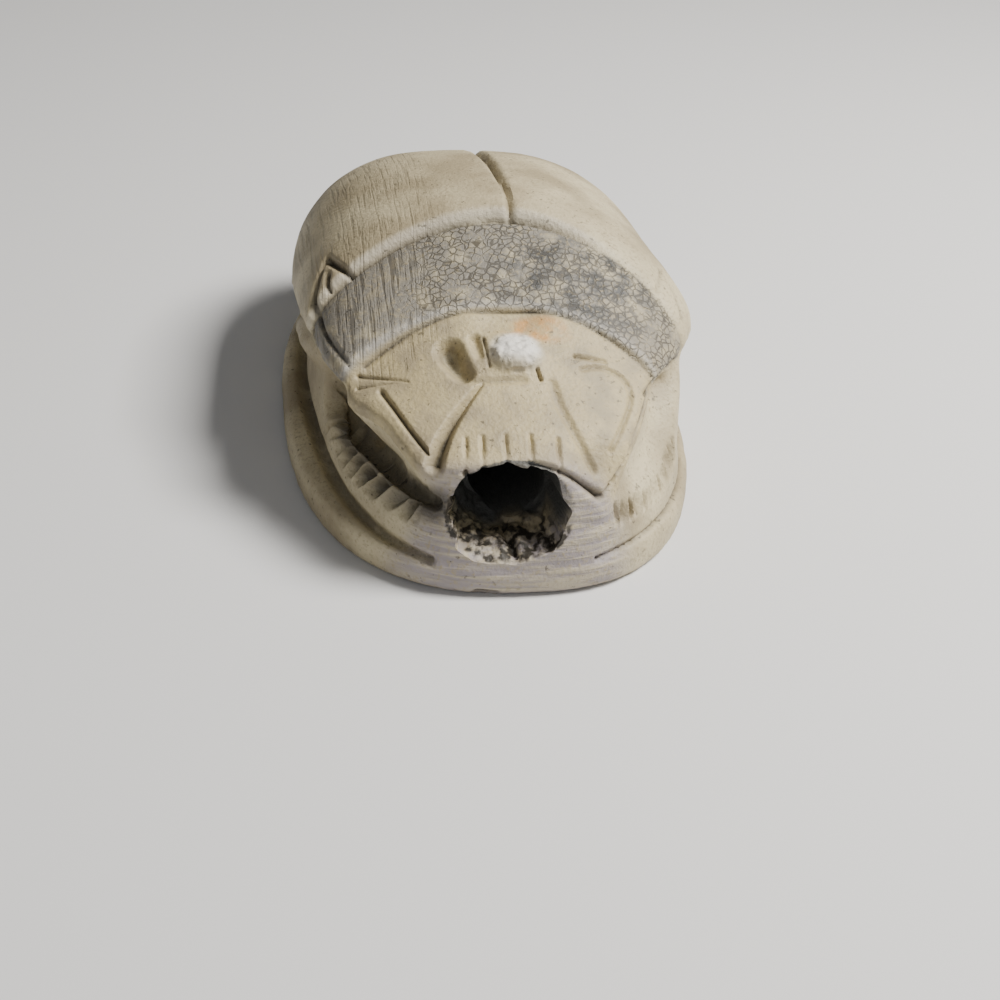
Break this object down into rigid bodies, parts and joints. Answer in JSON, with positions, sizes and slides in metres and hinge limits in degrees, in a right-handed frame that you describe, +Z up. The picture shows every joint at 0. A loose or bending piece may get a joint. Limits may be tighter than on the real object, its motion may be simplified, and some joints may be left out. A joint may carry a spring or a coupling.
{
  "type": "scarab amulet",
  "caption": "Crouching beetle on a flat oval base, carved from solid pale stone and pierced lengthwise for threading, with a broken mouth to the hole and a worn surface",
  "frame": {"origin": "middle of the base's underside", "axes": "+Z up from the flat underside; the head faces -Y and the tail +Y; +X is to the right of a viewer who faces the head"},
  "size_m": [0.0152, 0.024, 0.0095],
  "materials": {
    "stone": null
  },
  "bodies": {
    "root": {"scarab": "stone"}
  },
  "joints": []
}
